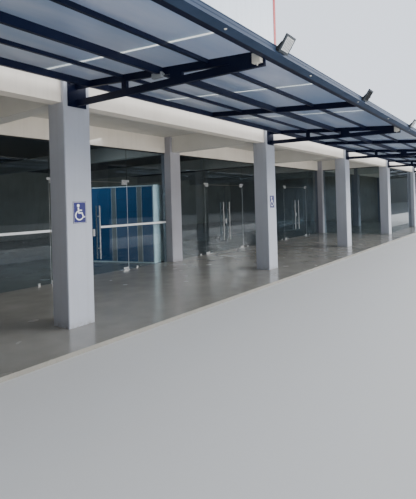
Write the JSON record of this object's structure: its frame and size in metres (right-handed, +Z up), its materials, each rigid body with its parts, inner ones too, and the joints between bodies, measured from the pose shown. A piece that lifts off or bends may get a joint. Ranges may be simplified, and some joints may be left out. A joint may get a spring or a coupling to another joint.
{
  "type": "supermarket building",
  "caption": "Single-storey supermarket in a row, with an arcade of square columns, a glass shopfront with double doors, a steel canopy and a roof sign.",
  "frame": {"origin": "on the ground, at the middle of the front face of the middle outer column", "axes": "+X along the shopfront to the right as seen from the street, +Y into the building, +Z up"},
  "size_m": [31.78, 18.3833, 7.35],
  "materials": {
    "floor_concrete": "polished concrete",
    "column_paint": "matt masonry paint",
    "cream_paint": "matt masonry paint",
    "ceiling_paint": "matt masonry paint",
    "wall_render": "painted render",
    "coping_metal": "mill finish",
    "roof_covering": "mineral roofing felt",
    "canopy_steel": "semi-gloss paint",
    "canopy_sheet": "translucent sheet",
    "joint_strip": "mill finish",
    "gutter_paint": "semi-gloss paint",
    "bracket_metal": "semi-gloss paint",
    "floodlight_housing": "powder coat",
    "sign_face": "gloss film",
    "sign_red": "gloss film",
    "sign_steel": "galvanised",
    "plate_blue": "enamel",
    "channel_metal": "anodised",
    "shop_glass": "toughened float glass",
    "patch_steel": "satin stainless steel",
    "box_plastic": "moulded",
    "screen_pale": "powder coat",
    "screen_blue": "powder coat"
  },
  "bodies": {
    "building": {"floor_slab": "floor_concrete", "outer_columns": "column_paint", "inner_columns": "column_paint", "front_beams": "cream_paint", "cross_beams": "ceiling_paint", "shopfront_lintels": "cream_paint", "arcade_ceiling": "ceiling_paint", "front_parapet": "cream_paint", "party_walls": "wall_render", "arcade_end_walls": "wall_render", "rear_wall": "wall_render", "parapet_copings": "coping_metal", "roof_deck": "roof_covering", "canopy_wall_plates": "canopy_steel", "canopy_trusses": "canopy_steel", "canopy_rafters": "canopy_steel", "canopy_purlins": "canopy_steel", "canopy_edge_beam": "canopy_steel", "canopy_sheets": "canopy_sheet", "sheet_joint_strips": "joint_strip", "canopy_gutter": "gutter_paint", "floodlight_brackets": "bracket_metal", "floodlights": "floodlight_housing", "junction_boxes": "box_plastic", "sign_panel": "sign_face", "sign_border": "sign_red", "sign_frame": "sign_steel", "access_plates": "plate_blue", "glazing_channels": "channel_metal", "fixed_glass": "shop_glass", "transom_glass": "shop_glass", "fixed_patches": "patch_steel", "floor_springs": "patch_steel", "screen_carcass": "screen_pale", "screen_panels": "screen_blue"},
    "bay_2_left_door": {"bay_2_left_leaf": "shop_glass", "bay_2_left_fittings": "patch_steel"},
    "bay_2_right_door": {"bay_2_right_leaf": "shop_glass", "bay_2_right_fittings": "patch_steel"},
    "bay_3_left_door": {"bay_3_left_leaf": "shop_glass", "bay_3_left_fittings": "patch_steel"},
    "bay_3_right_door": {"bay_3_right_leaf": "shop_glass", "bay_3_right_fittings": "patch_steel"},
    "bay_4_left_door": {"bay_4_left_leaf": "shop_glass", "bay_4_left_fittings": "patch_steel"},
    "bay_4_right_door": {"bay_4_right_leaf": "shop_glass", "bay_4_right_fittings": "patch_steel"}
  },
  "joints": [
    {"name": "bay_2_left_swing", "type": "hinge", "parent": "building", "child": "bay_2_left_door", "pos_m": [-8.81, 3.105, 0.06], "axis": [0, 0, 1], "range_deg": [-90, 90], "stiffness_Nm_per_rad": 20},
    {"name": "bay_2_right_swing", "type": "hinge", "parent": "building", "child": "bay_2_right_door", "pos_m": [-6.85, 3.105, 0.06], "axis": [0, 0, -1], "range_deg": [-90, 90], "stiffness_Nm_per_rad": 20},
    {"name": "bay_3_left_swing", "type": "hinge", "parent": "building", "child": "bay_3_left_door", "pos_m": [-3.59, 3.105, 0.06], "axis": [0, 0, 1], "range_deg": [-90, 90], "stiffness_Nm_per_rad": 20},
    {"name": "bay_3_right_swing", "type": "hinge", "parent": "building", "child": "bay_3_right_door", "pos_m": [-1.63, 3.105, 0.06], "axis": [0, 0, -1], "range_deg": [-90, 90], "stiffness_Nm_per_rad": 20},
    {"name": "bay_4_left_swing", "type": "hinge", "parent": "building", "child": "bay_4_left_door", "pos_m": [1.63, 3.105, 0.06], "axis": [0, 0, 1], "range_deg": [-90, 90], "stiffness_Nm_per_rad": 20},
    {"name": "bay_4_right_swing", "type": "hinge", "parent": "building", "child": "bay_4_right_door", "pos_m": [3.59, 3.105, 0.06], "axis": [0, 0, -1], "range_deg": [-90, 90], "stiffness_Nm_per_rad": 20}
  ]
}
